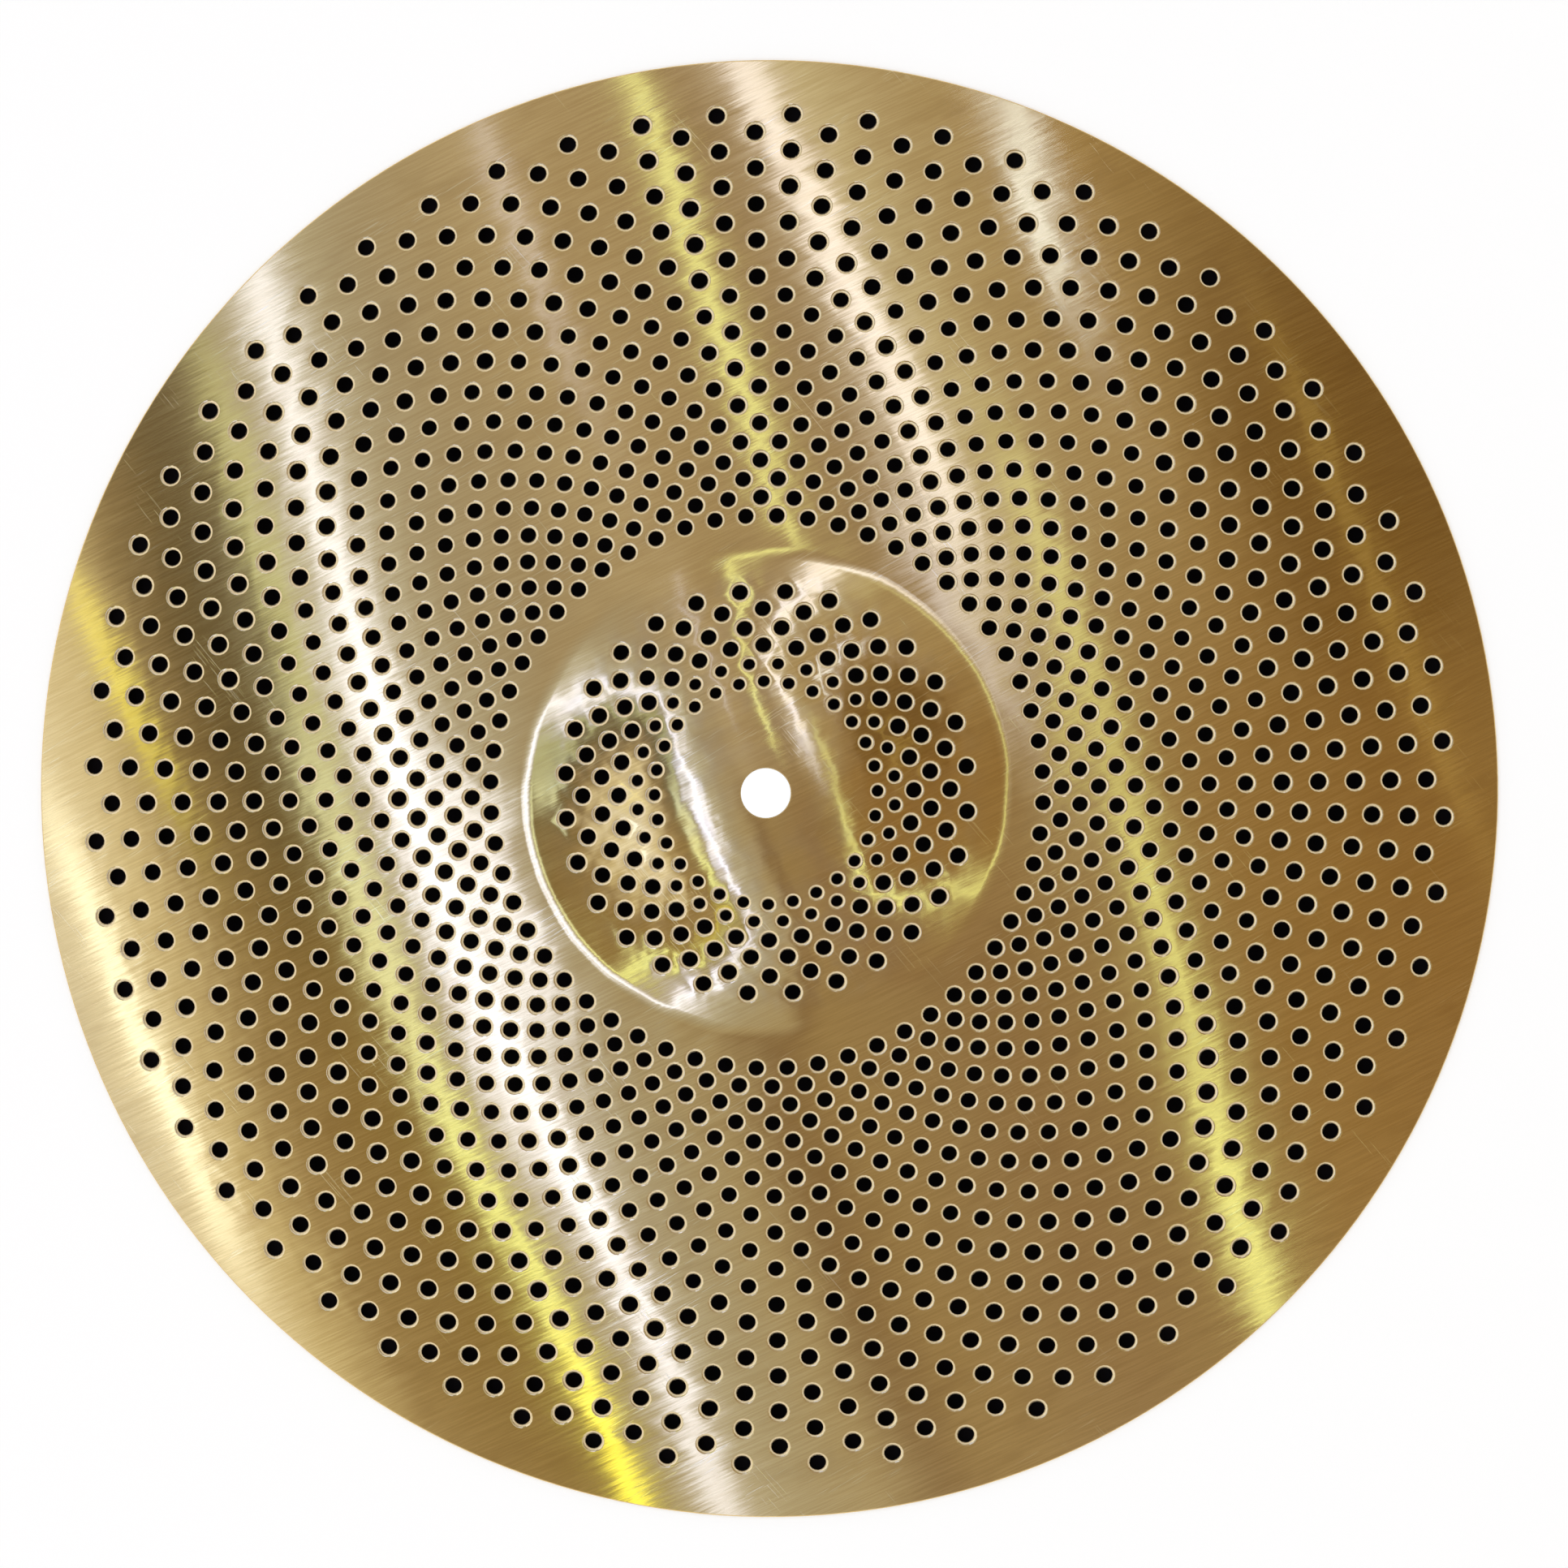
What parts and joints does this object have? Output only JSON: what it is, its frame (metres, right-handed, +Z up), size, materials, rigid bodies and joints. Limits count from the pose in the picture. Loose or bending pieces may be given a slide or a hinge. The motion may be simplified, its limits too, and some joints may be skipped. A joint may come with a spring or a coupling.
{
  "type": "crash cymbal",
  "caption": "Round brass crash cymbal pressed from sheet, with a domed bell, a shallow bow, a stand hole and rings of small punched holes that make it quieter.",
  "frame": {"origin": "on the cymbal's axis, in the plane that the rim rests on when it lies rim down", "axes": "+Z up along the axis, from the rim towards the top of the bell; +X along a line of holes on the bell and on the bow"},
  "size_m": [0.4064, 0.4064, 0.0263],
  "materials": {
    "cymbal_brass": "champagne-gold brass, straight hairline brushing across the whole disc, satin, with pale rounded lips at the punched holes"
  },
  "bodies": {
    "root": {"cymbal": "cymbal_brass"}
  },
  "joints": []
}
